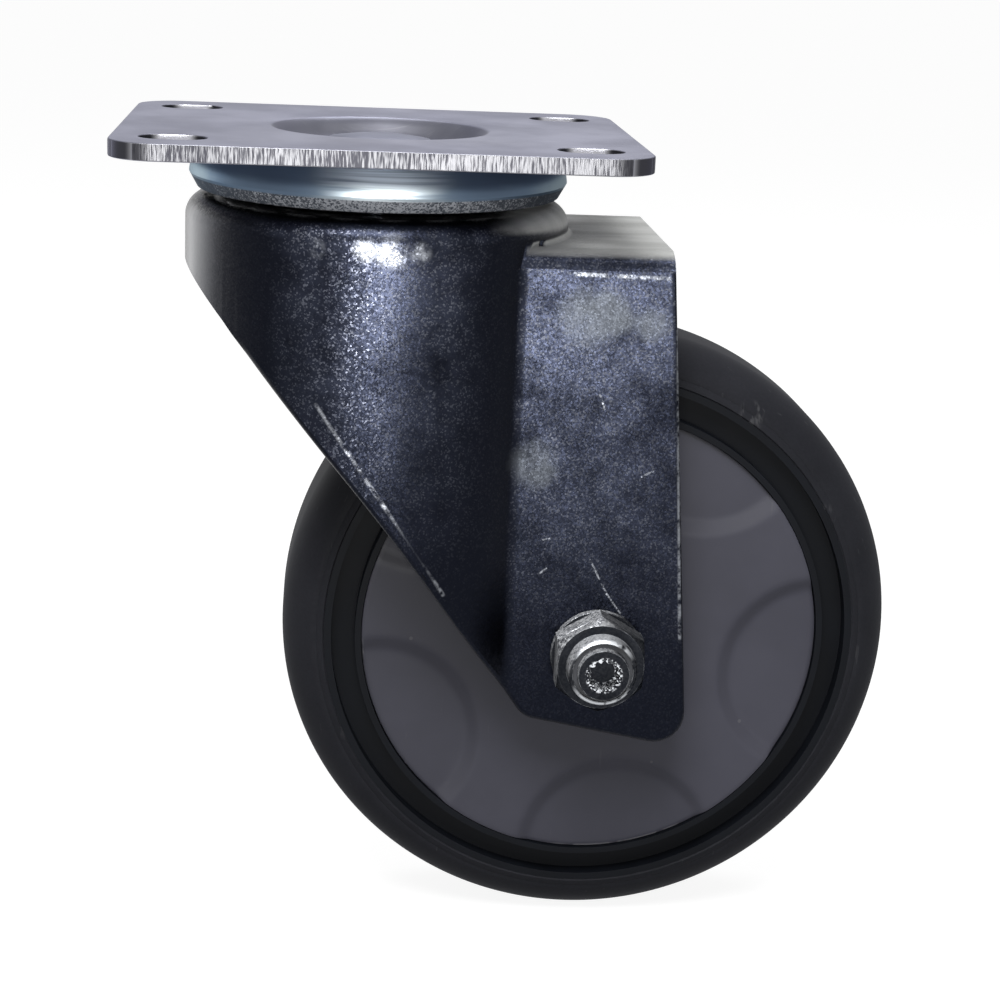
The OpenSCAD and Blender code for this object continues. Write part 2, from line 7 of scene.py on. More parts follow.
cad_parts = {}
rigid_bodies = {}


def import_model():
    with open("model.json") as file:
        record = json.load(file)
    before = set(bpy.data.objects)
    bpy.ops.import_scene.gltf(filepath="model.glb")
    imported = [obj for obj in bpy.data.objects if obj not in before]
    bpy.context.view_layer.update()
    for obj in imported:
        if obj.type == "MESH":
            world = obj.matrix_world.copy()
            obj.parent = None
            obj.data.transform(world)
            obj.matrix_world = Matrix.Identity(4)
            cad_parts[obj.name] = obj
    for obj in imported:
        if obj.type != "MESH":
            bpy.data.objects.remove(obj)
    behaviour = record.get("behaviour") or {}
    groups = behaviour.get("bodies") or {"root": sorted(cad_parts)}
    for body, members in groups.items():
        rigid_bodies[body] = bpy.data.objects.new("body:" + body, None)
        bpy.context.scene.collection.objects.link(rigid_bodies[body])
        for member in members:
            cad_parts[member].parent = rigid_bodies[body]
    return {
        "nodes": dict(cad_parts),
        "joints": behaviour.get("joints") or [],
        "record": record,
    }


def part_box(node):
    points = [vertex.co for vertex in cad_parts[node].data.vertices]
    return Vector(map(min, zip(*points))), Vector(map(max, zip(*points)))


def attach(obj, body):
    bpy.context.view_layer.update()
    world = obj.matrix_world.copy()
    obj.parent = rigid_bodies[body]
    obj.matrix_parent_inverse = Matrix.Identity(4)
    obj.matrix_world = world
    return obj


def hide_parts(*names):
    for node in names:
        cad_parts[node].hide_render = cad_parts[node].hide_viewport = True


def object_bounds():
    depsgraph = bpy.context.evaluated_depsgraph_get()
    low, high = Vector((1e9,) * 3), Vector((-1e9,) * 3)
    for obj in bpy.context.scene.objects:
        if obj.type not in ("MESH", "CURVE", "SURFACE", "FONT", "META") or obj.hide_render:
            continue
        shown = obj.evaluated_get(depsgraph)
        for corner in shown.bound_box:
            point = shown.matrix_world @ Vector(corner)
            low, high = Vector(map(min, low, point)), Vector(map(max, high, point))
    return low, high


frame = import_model()
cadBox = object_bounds()
nodes = frame["nodes"]
joints = {joint["name"]: joint for joint in frame["joints"]}
swivel = Vector(joints["fork_swivel"]["pos_m"])
axle = Vector(joints["wheel_spin"]["pos_m"])
bodyOf = {node: body for body, members in frame["record"]["behaviour"]["bodies"].items() for node in members}
slotOf = {part["node"]: part["material_slot"] for part in frame["record"]["subparts"]}
mm = 0.001  # lengths below are in mm unless a note says metres, noise scales are per metre
print("frame loaded:", len(nodes), "nodes")


def plug(tree, socket, part):
    if isinstance(part, Flow):
        tree.links.new(part.socket, socket)
    else:
        socket.default_value = part


class Flow:  # an output socket that can be used in sums
    def __init__(self, tree, socket):
        self.tree, self.socket = tree, socket

    def other(self, key):  # another output of the same node
        return Flow(self.tree, self.socket.node.outputs[key])

    def maths(self, operation, second=0.0, swapped=False):
        node = self.tree.nodes.new("ShaderNodeMath")
        node.operation = operation
        for place, part in enumerate((second, self) if swapped else (self, second)):
            plug(self.tree, node.inputs[place], part)
        return Flow(self.tree, node.outputs[0])

    def __add__(self, second): return self.maths("ADD", second)
    def __radd__(self, second): return self.maths("ADD", second, True)
    def __sub__(self, second): return self.maths("SUBTRACT", second)
    def __rsub__(self, second): return self.maths("SUBTRACT", second, True)
    def __mul__(self, second): return self.maths("MULTIPLY", second)
    def __rmul__(self, second): return self.maths("MULTIPLY", second, True)
    def __truediv__(self, second): return self.maths("DIVIDE", second)
    def __rtruediv__(self, second): return self.maths("DIVIDE", second, True)
    def __mod__(self, second): return self.maths("FLOORED_MODULO", second)
    def __abs__(self): return self.maths("ABSOLUTE")


class Bench:  # adds nodes to a tree
    def __init__(self, tree):
        self.tree = tree
        tree.nodes.clear()

    def add(self, kind, settings=None, sockets=None, out=0):
        node = self.tree.nodes.new(kind)
        for name, value in (settings or {}).items():
            setattr(node, name, value)
        for key, part in (sockets or {}).items():
            plug(self.tree, node.inputs[key], part)
        return Flow(self.tree, node.outputs[out]) if len(node.outputs) else node

    def between(self, value, low, high):  # smooth step from 0 at low to 1 at high
        return self.add("ShaderNodeMapRange", {"interpolation_type": "SMOOTHSTEP"},
                        {"Value": value, "From Min": low, "From Max": high})

    def vector(self, operation, first, second=(0, 0, 0), out="Vector"):
        return self.add("ShaderNodeVectorMath", {"operation": operation}, {0: first, 1: second}, out)

    def axes(self, vector):
        split = self.add("ShaderNodeSeparateXYZ", sockets={0: vector})
        return split, split.other(1), split.other(2)

    def seen(self):  # 1 for camera, mirror and glass rays
        ray = self.add("ShaderNodeLightPath", out="Is Camera Ray")
        for kind in ("Is Glossy Ray", "Is Transmission Ray"):
            ray = ray.maths("MAXIMUM", self.add("ShaderNodeLightPath", out=kind))
        return ray


class Finish(Bench):  # a material on object coordinates
    def __init__(self, name):
        self.material = bpy.data.materials.new(name)
        self.material.use_nodes = True
        super().__init__(self.material.node_tree)
        self.shader = self.tree.nodes.new("ShaderNodeBsdfPrincipled")
        self.add("ShaderNodeOutputMaterial", sockets={"Surface": Flow(self.tree, self.shader.outputs[0])})
        self.place = self.add("ShaderNodeTexCoord", out="Object")
        self.facing = self.place.other("Normal")

    def noise(self, scale, detail=2.0, roughness=0.5, vector=None):
        return self.add("ShaderNodeTexNoise", sockets={"Vector": vector or self.place, "Scale": scale,
                                                       "Detail": detail, "Roughness": roughness})

    def drawn(self, scale, detail, roughness):  # noise with a scale of its own on each axis
        return self.noise(1, detail, roughness, self.vector("MULTIPLY", self.place, scale))

    def cells(self, scale, out="Distance"):
        return self.add("ShaderNodeTexVoronoi", sockets={"Vector": self.place, "Scale": scale}, out=out)

    def chance(self, scale):  # a random value for each cell
        return self.axes(self.cells(scale, "Color"))[0]

    def fromAxle(self):  # distance from the line of the axle
        spread = self.vector("MULTIPLY", self.vector("SUBTRACT", self.place, axle), (1, 0, 1))
        return self.vector("LENGTH", spread, out="Value")

    def near(self, centre, radius, soft):  # 1 inside a ball round a point, fading to 0
        gap = self.vector("DISTANCE", self.place, [c * mm for c in centre], "Value")
        return self.between(gap, (radius + soft) * mm, radius * mm)

    def along(self, start, end, radius, soft):  # 1 on a straight line between two points, fading to 0
        start, end = Vector(start) * mm, Vector(end) * mm
        path = end - start
        share = self.vector("DOT_PRODUCT", self.vector("SUBTRACT", self.place, start), path, "Value")
        share = self.add("ShaderNodeClamp", sockets={0: share / path.length_squared})
        foot = self.vector("MULTIPLY", share, path)
        gap = self.vector("DISTANCE", self.place, self.vector("ADD", foot, start), "Value")
        return self.between(gap, (radius + soft) * mm, radius * mm)

    def spots(self, places):
        total = 0.0
        for centre, radius, soft in places:
            total = self.near(centre, radius, soft) + total
        return total

    def lines(self, places, radius, soft):
        total = 0.0
        for start, end in places:
            total = self.along(start, end, radius, soft) + total
        return total

    def blend(self, factor, first, second):
        return self.add("ShaderNodeMix", {"data_type": "RGBA"},
                        {0: factor, 6: first if isinstance(first, Flow) else (*first, 1),
                         7: second if isinstance(second, Flow) else (*second, 1)}, 2)

    def relief(self, height, strength, depth, under=None):
        sockets = {"Height": height, "Strength": strength, "Distance": depth * mm}
        if under:
            sockets["Normal"] = under
        return self.add("ShaderNodeBump", sockets=sockets)

    def grains(self, scale, amount):  # a normal that leans its own way in each grain
        lean = self.vector("SUBTRACT", self.cells(scale, "Color"), (0.5, 0.5, 0.5))
        lean = self.add("ShaderNodeVectorMath", {"operation": "SCALE"}, {0: lean, "Scale": amount})
        straight = self.add("ShaderNodeNewGeometry", out="Normal")
        return self.vector("NORMALIZE", self.vector("ADD", straight, lean))

    def wear(self, radius):  # 1 on an edge, 0 away from it
        soft = self.add("ShaderNodeBevel", {"samples": 6}, {"Radius": radius * mm})
        hard = self.add("ShaderNodeNewGeometry", out="Normal")
        return 1 - self.vector("DOT_PRODUCT", soft, hard, "Value")

    def surface(self, sockets):
        for key, part in sockets.items():
            plug(self.tree, self.shader.inputs[key], part)
        return self.material


plateLook = {"zinc": (0.305, 0.31, 0.368), "shade": (0.205, 0.21, 0.258), "bright": (0.62, 0.62, 0.66),
             "edgeDarkAndShade": (0.040, 0.040, 0.047), "edgeBright": (0.195, 0.195, 0.205),
             "glance": (0.58, 0.58, 0.64), "cloud": (38, 4, 0.6), "cloudStep": (0.32, 0.68),
             "scratch": ((60, 2600, 400), 3, 0.6), "scratchStep": (0.60, 0.72), "scratchShare": 0.25,
             "uprightStep": (0.75, 0.35), "rimStep": (0.975, 0.980), "shear": ((4200, 4200, 420), 1, 0.5),
             "sway": (60, 2), "swayShare": 0.4, "shearStep": (0.36, 0.64), "lipShadeStep": (0.25, 0.55),
             "lipShadeEnd": (0.98, 0.85), "lipShare": 0.55, "cornerShadeStep": (0.06, 0.35), "cornerShadeShare": 0.9,
             "slotLightStep": (0.60, 0.20), "roughness": 0.30, "cloudRough": 0.16, "sideRough": 0.12,
             "shearRelief": (0.5, 0.12), "skin": (2600, 2, 0.6), "skinScratch": 0.6,
             "skinRelief": (0.10, 0.05)}


def zincPlate():  # satin plating, with drawn shear marks on the outer cut edge, painted shade on the rounded top edge and corners, and painted reflection and shade on the slot walls
    m, look = Finish("zincPlate"), plateLook
    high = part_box("top_plate")[1]
    px, py = m.axes(m.place)[:2]
    nx, ny, nz = m.axes(m.facing)
    cloud = m.noise(*look["cloud"])
    scratch = m.between(m.drawn(*look["scratch"]), *look["scratchStep"])
    upright = m.between(abs(nz), *look["uprightStep"])
    outer = (abs(px) / high.x).maths("MAXIMUM", abs(py) / high.y)
    side = upright * m.between(outer, *look["rimStep"])
    marks = m.drawn(*look["shear"]) + look["swayShare"] * m.noise(*look["sway"]) - look["swayShare"] / 2
    # painted shade: the rounding between the top face and the cut edge is darkened
    lip = m.between(nz, *look["lipShadeStep"]) * m.between(nz, *look["lipShadeEnd"])
    # painted shade: the rounded corners of the cut edge are darkened
    corner = m.between(abs(nx).maths("MINIMUM", abs(ny)), *look["cornerShadeStep"])
    top = m.blend(m.between(cloud, *look["cloudStep"]), look["shade"], look["zinc"])
    top = m.blend(look["scratchShare"] * scratch, top, look["bright"])
    top = m.blend(look["lipShare"] * lip, top, look["edgeDarkAndShade"])
    edge = m.blend(m.between(marks, *look["shearStep"]), look["edgeDarkAndShade"], look["edgeBright"])
    edge = m.blend(look["cornerShadeShare"] * corner, edge, look["edgeDarkAndShade"])
    # painted reflection and shade in the slots: walls facing along y are painted bright, walls facing along x
    # dark
    slot = m.blend(m.between(abs(nx), *look["slotLightStep"]), look["edgeDarkAndShade"], look["bright"])
    colour = m.blend(upright * (1 - side), m.blend(side, top, edge), slot)
    rough = look["roughness"] + look["cloudRough"] * cloud + look["sideRough"] * side
    shear = m.relief(marks, *look["shearRelief"])
    fine = m.relief(m.noise(*look["skin"]) + look["skinScratch"] * scratch, *look["skinRelief"])
    normal = m.add("ShaderNodeMix", {"data_type": "VECTOR"}, {0: side, 4: fine, 5: shear}, 1)
    return m.surface({"Base Color": colour, "Metallic": 1.0, "Roughness": rough, "Normal": normal,
                      "Specular Tint": (*look["glance"], 1)})


dishLook = {"blue": (0.085, 0.118, 0.165), "pale": (0.20, 0.24, 0.26), "middle": (0.70, 0.78, 0.82),
            "cut": (0.24, 0.25, 0.27), "cutDark": (0.050, 0.055, 0.066), "glance": (0.5, 0.55, 0.6),
            "cloud": (60, 3, 0.6), "rings": ((30, 30, 1500), 2, 0.5), "paleStep": (0.25, 0.75),
            "endStep": (0.70, 0.96), "midReflectionStep": (0.42, 0.05), "paintedHighlightStep": (0.34, 0.04),
            "ringStep": (0.25, 0.6), "cutFrom": 2.5, "cutTo": 2.2, "speck": 3400, "patch": (420, 2),
            "speckStep": (0.30, 0.95), "roughness": 0.38, "cloudRough": 0.10, "cutRough": 0.15,
            "ringShare": 0.4, "patchShare": 0.7, "acrossShadeShare": 0.9, "skin": 2200, "skinShare": 0.5,
            "skinRelief": (0.08, 0.05)}


def zincDish():  # smooth bluish plating with painted reflection bands and a painted highlight in the middle, set by the way the wall faces, and a speckled cut rim painted darker towards its sides
    m, look = Finish("zincDish"), dishLook
    across = abs(m.axes(m.facing)[0])
    z = m.axes(m.place)[2]
    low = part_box("race_dish")[0].z
    cloud = m.noise(*look["cloud"])
    rings = m.drawn(*look["rings"])
    cut = m.between(z, low + look["cutFrom"] * mm, low + look["cutTo"] * mm)
    # painted reflection: the wall is painted pale where it faces along y and along x, broken by a cloud, and
    # bluish between
    ends = m.between(across, *look["endStep"]).maths("MAXIMUM", m.between(across, *look["midReflectionStep"]))
    pale = ends * m.between(cloud + look["ringShare"] * rings, *look["paleStep"])
    colour = m.blend(pale, look["blue"], look["pale"])
    # painted highlight: the wall is painted nearly white where it faces along y
    paintedHighlight = m.between(across, *look["paintedHighlightStep"]) * m.between(rings, *look["ringStep"])
    colour = m.blend(paintedHighlight, colour, look["middle"])
    speck = m.chance(look["speck"]) + look["patchShare"] * m.noise(*look["patch"])
    # painted shade: the cut rim's specks fade darker where it faces along x
    speck = speck - look["acrossShadeShare"] * across
    speck = m.blend(m.between(speck, *look["speckStep"]), look["cutDark"], look["cut"])
    colour = m.blend(cut, colour, speck)
    rough = look["roughness"] + look["cloudRough"] * cloud + look["cutRough"] * cut
    normal = m.relief(look["skinShare"] * m.noise(look["skin"]) + rings, *look["skinRelief"])
    return m.surface({"Base Color": colour, "Metallic": 1.0, "Roughness": rough, "Normal": normal,
                      "Specular Tint": (*look["glance"], 1)})


forkLook = {"navy": (0.0058, 0.0068, 0.0112), "zinc": (0.037, 0.0425, 0.065), "fleck": (0.175, 0.185, 0.220),
            "sheenFilm": (0.50, 0.505, 0.495), "sheenFilmDark": (0.36, 0.365, 0.355), "stain": (0.088, 0.096, 0.106),
            "worn": (0.42, 0.44, 0.48), "grain": 3400, "lean": 0.15, "leanStep": (0.92, 0.62),
            "cloud": (30, 4, 0.6), "cloudStep": (0.20, 0.60), "mottle": (120, 4, 0.75),
            "mottleStep": (0.18, 0.68), "flatStep": (0.82, 0.985), "levelStep": (-112, -22),
            "crownStep": (30, 18), "crownDrop": 20, "patch": (260, 3, 0.7), "fleckStep": (0.86, 1.20),
            "fleckLeast": 0.03, "fleckShare": 0.85, "stainDrawn": ((260, 260, 110), 4, 0.7),
            "stainStep": (0.12, 0.62), "stainShare": 0.55, "scratchLine": (0.05, 0.22),
            "scratchGrain": (1100, 3, 0.7), "scratchStep": (0.42, 0.62), "scratchShare": 0.55,
            "rubbedAndHighlightLine": (0.10, 0.45), "rubbedAndHighlightGrain": (500, 3, 0.7), "rubbedAndHighlightStep": (0.36, 0.60),
            "rubbedAndHighlightShare": 0.45, "paintedHighlightGrain": (300, 4, 0.7), "paintedHighlightStep": (0.34, 0.62), "paintedHighlightShare": 0.6,
            "deckStep": (0.55, 0.95), "deckFrom": 19, "deckTo": 32, "streak": ((40, 150, 40), 3, 0.55),
            "streakStep": (0.35, 0.7), "edge": 0.6, "edgeGrain": (900, 3, 0.75), "edgeGaps": (0.48, 0.75),
            "edgeStep": (0.01, 0.12), "edgeShare": 0.6, "roughness": 0.27, "cloudRough": 0.10,
            "deckRough": 0.30, "stainRough": 0.08, "metal": 0.97, "deckDull": 0.75, "dent": (280, 3, 0.6),
            "dentRelief": (0.08, 0.22), "specular": 0.3, "upShare": 0.35, "patchShare": 0.35,
            "endShare": 0.5,
            # painted highlight spots on the crown's shoulder
            "paintedHighlight": [((1.8, -37.9, -18.8), 0.6, 3.4), ((7.2, -37.3, -19.0), 0.2, 2.4),
                      ((-12, -36, -18.8), 0.1, 2.2), ((-3.2, -37.8, -18.7), 0.2, 2.8)],
            "smudges": [((40.0, -27, -32.0), 1.5, 9), ((44.6, -27, -31.0), 1.0, 5),
                        ((31, -27, -61.1), 1.5, 7), ((52.5, -27, -33), 1.0, 5)],
            "scratches": [((42.8, -27, -80.1), (46.4, -27, -87.0)), ((46.4, -27, -87.0), (50.4, -27, -92.4)),
                          ((33.0, -27, -76.2), (34.6, -27, -75.9)), ((33.0, -27, -83.0), (34.2, -27, -82.0)),
                          ((43.0, -27, -47.0), (44.2, -27, -50.0)), ((52.0, -27, -63.0), (54.2, -27, -61.8))],
            "rubbedAndHighlight": [((-11.5, -36.2, -48.1), (-5.1, -37.7, -57.3)),
                       ((-5.1, -37.7, -57.3), (1.5, -38.0, -66.8)),
                       ((1.5, -38.0, -66.8), (13.6, -35.5, -85.1)),
                       # the leg's right edge is worn; the line along the leg's top bend is a painted
                       # highlight
                       ((57.4, -27, -34), (61.6, -27, -96)), ((37, -27, -23.6), (55, -27, -24.0))]}


def zincFork():  # dark grained plating with bright flecks and worn edges, painted lighter towards the top, with painted highlights on the crown's shoulder and the leg's top bend, and the deck painted as a dull light grey coat, a painted reflection
    m, look = Finish("zincFork"), forkLook
    nx, ny, nz = m.axes(m.facing)
    px, pz = m.axes(m.place)[::2]
    cloud = m.noise(*look["cloud"])
    # painted light: the plating is painted lighter towards the top and on faces turned sideways and up
    flat = m.between(abs(ny) + look["upShare"] * nz.maths("MAXIMUM"), *look["flatStep"])
    levelFrom, levelTo, crownFrom, crownTo = (z * mm for z in look["levelStep"] + look["crownStep"])
    level = m.between(pz - look["crownDrop"] * mm * m.between(px, crownFrom, crownTo), levelFrom, levelTo)
    mottle = m.between(m.noise(*look["mottle"]), *look["mottleStep"])
    lit = flat * level * m.between(cloud, *look["cloudStep"]) * mottle
    colour = m.blend(lit, look["navy"], look["zinc"])
    fleck = m.chance(look["grain"]) + look["patchShare"] * m.noise(*look["patch"])
    fleck = m.between(fleck, *look["fleckStep"])
    # the flecks are grain, painted brighter where the painted light falls
    colour = m.blend(fleck * (look["fleckLeast"] + look["fleckShare"] * lit), colour, look["fleck"])
    stain = m.between(m.spots(look["smudges"]) * m.drawn(*look["stainDrawn"]), *look["stainStep"])
    colour = m.blend(look["stainShare"] * stain, colour, look["stain"])
    marks = {"scratch": m.lines(look["scratches"], *look["scratchLine"]),
             "rubbedAndHighlight": m.lines(look["rubbedAndHighlight"], *look["rubbedAndHighlightLine"]), "paintedHighlight": m.spots(look["paintedHighlight"])}
    # each mark is painted in the worn colour: the scratches and the worn edge lines are wear, the highlight
    # spots and the line along the leg's top bend are painted highlights
    for mark, place in marks.items():
        gaps = m.between(m.noise(*look[mark + "Grain"]), *look[mark + "Step"])
        colour = m.blend(look[mark + "Share"] * place * gaps, colour, look["worn"])
    # painted reflection: where the deck faces up, and at its end, it is painted as a dull, streaked light
    # grey coat
    deck = m.between(nz + look["endShare"] * nx.maths("MAXIMUM"), *look["deckStep"])
    deck = deck * m.between(px, look["deckFrom"] * mm, look["deckTo"] * mm)
    sheenFilm = m.blend(m.between(m.drawn(*look["streak"]), *look["streakStep"]), look["sheenFilmDark"], look["sheenFilm"])
    colour = m.blend(deck, colour, sheenFilm)
    gaps = m.between(m.noise(*look["edgeGrain"]), *look["edgeGaps"])
    rub = m.between(m.wear(look["edge"]) * gaps, *look["edgeStep"])
    colour = m.blend(look["edgeShare"] * rub, colour, look["worn"])
    rough = look["roughness"] + look["cloudRough"] * cloud + look["deckRough"] * deck
    rough = rough + look["stainRough"] * stain
    lean = look["lean"] * m.between(abs(nx), *look["leanStep"])
    normal = m.relief(m.noise(*look["dent"]), *look["dentRelief"], m.grains(look["grain"], lean))
    return m.surface({"Base Color": colour, "Metallic": look["metal"] - look["deckDull"] * deck,
                      "Roughness": rough, "Normal": normal, "Specular IOR Level": look["specular"]})


steelLook = {"zinc": (0.56, 0.57, 0.59), "dark": (0.15, 0.155, 0.17), "darkTone": (0.0075, 0.0085, 0.011),
             "worn": (0.60, 0.62, 0.65), "glance": (0.30, 0.31, 0.34), "cloud": (180, 3, 0.6), "grain": 2900,
             "grainStep": (0.22, 0.78), "lean": 0.30, "nearFrom": -20, "nearTo": -28, "recess": 3.35,
             "recessSoft": 0.1, "shadeStep": (1.05, 0.35), "shadeShare": 0.97, "endStep": (0.75, 0.96),
             "oilShare": 0.985, "head": 15, "headSoft": 3, "edge": 0.3, "edgeStep": (0.02, 0.16),
             "edgeGaps": (0.36, 0.54), "edgeShare": 0.85, "edgeShade": 0.7, "collar": (5.9, 6.25, 6.6, 6.95),
             "collarStep": (0.35, 0.85), "collarGaps": (0.34, 0.5), "teeth": (2.3, 2.7, 3.3, 3.8),
             "teethStep": (0.55, 0.80), "paintedHighlightShare": 0.8, "flankStep": (0.55, 0.25), "flankDull": 0.8,
             "roughness": 0.34, "cloudRough": 0.18, "flankRough": 0.15, "specular": 0.12,
             "shadeLean": 0.7, "cloudShare": 0.4, "grainShare": 0.6, "edgeGrain": 800, "collarGrain": 500}


def pinSteel():  # bright grained steel, with dark near end faces, painted shade in the recess and on the near flanks, a painted highlight on the collar's top and bottom arcs, and worn edges
    m, look = Finish("pinSteel"), steelLook
    py, pz = m.axes(m.place)[1:]
    nx, ny, nz = m.axes(m.facing)
    cloud, chance, radial = m.noise(*look["cloud"]), m.chance(look["grain"]), m.fromAxle()
    near = m.between(py, look["nearFrom"] * mm, look["nearTo"] * mm)
    # painted shade in the recess of the near end
    hollow = near * m.between(radial, (look["recess"] + look["recessSoft"]) * mm, look["recess"] * mm)
    # painted shade on the near flanks that face away from the upper left
    shaded = near * m.between(nz - look["shadeLean"] * nx, *look["shadeStep"])
    # the near end faces are darker, and the recess and the shaded flanks take the same dark tone as painted
    # shade
    darkened = (near * m.between(abs(ny), *look["endStep"])).maths("MAXIMUM", hollow)
    darkened = darkened.maths("MAXIMUM", look["shadeShare"] * shaded)
    grain = m.between(look["cloudShare"] * cloud + look["grainShare"] * chance, *look["grainStep"])
    colour = m.blend(grain, look["dark"], look["zinc"])
    head = m.near((0, 0, 0), look["head"], look["headSoft"])  # the pin's head shows in the plate's dish
    colour = m.blend(head, colour, plateLook["zinc"])
    colour = m.blend(look["oilShare"] * darkened, colour, look["darkTone"])
    edge = m.between(m.wear(look["edge"]), *look["edgeStep"])
    edge = edge * m.between(m.noise(look["edgeGrain"]), *look["edgeGaps"])
    colour = m.blend(look["edgeShare"] * edge * (1 - look["edgeShade"] * shaded), colour, look["worn"])
    collar, teeth = (m.between(radial, a * mm, b * mm) * m.between(radial, d * mm, c * mm)
                     for a, b, c, d in (look["collar"], look["teeth"]))
    # painted highlight: the collar is bright only on its top and bottom arcs
    collar = collar * m.between(abs(pz - axle.z) / radial, *look["collarStep"])
    collar = collar * m.between(m.noise(look["collarGrain"]), *look["collarGaps"])
    # the teeth are bright at random; both are painted in the worn colour
    paintedHighlight = (collar + teeth * m.between(chance, *look["teethStep"])) * near
    colour = m.blend(look["paintedHighlightShare"] * paintedHighlight, colour, look["worn"])
    flank = m.between(abs(ny), *look["flankStep"]) * (1 - head)
    rough = look["roughness"] + look["cloudRough"] * cloud + look["flankRough"] * flank
    lean = look["lean"] * (1 - darkened) * (1 - head)
    return m.surface({"Base Color": colour, "Metallic": 1.0 - look["flankDull"] * flank, "Roughness": rough,
                      "Specular IOR Level": look["specular"], "Specular Tint": (*look["glance"], 1),
                      "Normal": m.grains(look["grain"], lean)})


ballLook = {"dark": (0.34, 0.345, 0.36), "bright": (0.52, 0.525, 0.54), "oil": (150, 3, 0.6),
            "oilStep": (0.3, 0.7), "roughness": 0.10, "oilRough": 0.14, "skin": 900,
            "skinRelief": (0.03, 0.03)}


def ballSteel():  # polished race steel with a thin oil film
    m, look = Finish("ballSteel"), ballLook
    oil = m.noise(*look["oil"])
    colour = m.blend(m.between(oil, *look["oilStep"]), look["dark"], look["bright"])
    rough = look["roughness"] + look["oilRough"] * oil
    return m.surface({"Base Color": colour, "Metallic": 1.0, "Roughness": rough,
                      "Normal": m.relief(m.noise(look["skin"]), *look["skinRelief"])})


nylonLook = {"dark": (0.040, 0.043, 0.052), "pale": (0.075, 0.079, 0.092), "cloud": (240, 3, 0.6),
             "cloudStep": (0.3, 0.7), "roughness": 0.40, "cloudRough": 0.15, "specular": 0.35, "skin": 1400,
             "skinRelief": (0.10, 0.05)}


def nylonPiece():  # dark nylon with a faint cloud
    m, look = Finish("nylonPiece"), nylonLook
    cloud = m.noise(*look["cloud"])
    colour = m.blend(m.between(cloud, *look["cloudStep"]), look["dark"], look["pale"])
    return m.surface({"Base Color": colour, "Roughness": look["roughness"] + look["cloudRough"] * cloud,
                      "Specular IOR Level": look["specular"],
                      "Normal": m.relief(m.noise(look["skin"]), *look["skinRelief"])})


tyreLook = {"rubber": (0.0162, 0.0168, 0.0212), "bloom": (0.0290, 0.0298, 0.0365),
            "scuff": (0.20, 0.20, 0.21), "grainShare": 0.3, "pitShare": 0.5,
            "cloud": (32, 4, 0.6), "grain": (1700, 3, 0.65), "bloomStep": (0.4, 0.95),
            "scuffs": [((75.3, -15, -52.9), 1.2, 2.4), ((91.7, -15, -73.3), 0.9, 2.0)],
            "scuffDrawn": ((900, 300, 300), 2, 0.6), "scuffStep": (0.45, 0.62), "scuffShare": 0.30,
            "hair": ((500, 1300, 120), 2, 0.5), "hairStep": (0.68, 0.76), "hairShare": 0.10,
            "roughness": 0.60, "cloudRough": 0.2, "pit": 420, "pitRelief": (0.16, 0.08), "specular": 0.08}


def tyreRubber():  # matte rubber with a grey bloom and light scuffs
    m, look = Finish("tyreRubber"), tyreLook
    cloud, grain = m.noise(*look["cloud"]), m.noise(*look["grain"])
    scuff = m.spots(look["scuffs"]) * m.between(m.drawn(*look["scuffDrawn"]), *look["scuffStep"])
    hair = m.between(m.drawn(*look["hair"]), *look["hairStep"])
    bloom = m.between(cloud + look["grainShare"] * grain, *look["bloomStep"])
    colour = m.blend(bloom, look["rubber"], look["bloom"])
    colour = m.blend(look["scuffShare"] * scuff + look["hairShare"] * hair, colour, look["scuff"])
    normal = m.relief(grain + look["pitShare"] * m.noise(look["pit"]), *look["pitRelief"])
    return m.surface({"Base Color": colour, "Roughness": look["roughness"] + look["cloudRough"] * cloud,
                      "Specular IOR Level": look["specular"], "Normal": normal})


rimLook = {"black": (0.0030, 0.0038, 0.0060), "grey": (0.0055, 0.0068, 0.0100), "worn": (0.020, 0.022, 0.028),
           "cloud": (70, 3, 0.6), "cloudStep": (0.3, 0.7), "edge": 0.4, "edgeStep": (0.05, 0.3),
           "edgeShare": 0.4, "roughness": 0.50, "cloudRough": 0.2, "specular": 0.09, "skin": (1300, 3),
           "skinRelief": (0.10, 0.05)}


def rimPlastic():  # near black moulding
    m, look = Finish("rimPlastic"), rimLook
    cloud = m.noise(*look["cloud"])
    colour = m.blend(m.between(cloud, *look["cloudStep"]), look["black"], look["grey"])
    edge = m.between(m.wear(look["edge"]), *look["edgeStep"])
    colour = m.blend(look["edgeShare"] * edge, colour, look["worn"])
    return m.surface({"Base Color": colour, "Roughness": look["roughness"] + look["cloudRough"] * cloud,
                      "Specular IOR Level": look["specular"],
                      "Normal": m.relief(m.noise(*look["skin"]), *look["skinRelief"])})


coverLook = {"grey": (0.060, 0.060, 0.081), "pale": (0.080, 0.080, 0.106), "hollow": (0.030, 0.030, 0.036),
             "speck": (0.17, 0.17, 0.185), "lip": (0.30, 0.30, 0.33), "cloud": (26, 4, 0.6),
             "cloudStep": (0.3, 0.75), "slopeShadeStep": (0.999, 0.955), "slopeShadeShare": 0.15, "dots": 160,
             "dotStep": (0.075, 0.045), "dotPatch": 60, "dotGaps": (0.55, 0.62), "dotShare": 0.5,
             "hair": ((900, 300, 90), 2, 0.5), "hairStep": (0.70, 0.77), "hairShare": 0.12,
             "lipFrom": 45.95, "lipTo": 46.10, "lipGrain": 300, "lipGaps": (0.4, 0.6), "lipShare": 0.7,
             "lipHighlightSpots": [((53.9, -16, -145.2), 9, 8), ((-0.8, -16, -103.6), 1.0, 3)], "roughness": 0.48,
             "cloudRough": 0.16, "specular": 0.22, "skin": (2400, 2, 0.6), "skinRelief": (0.07, 0.04)}


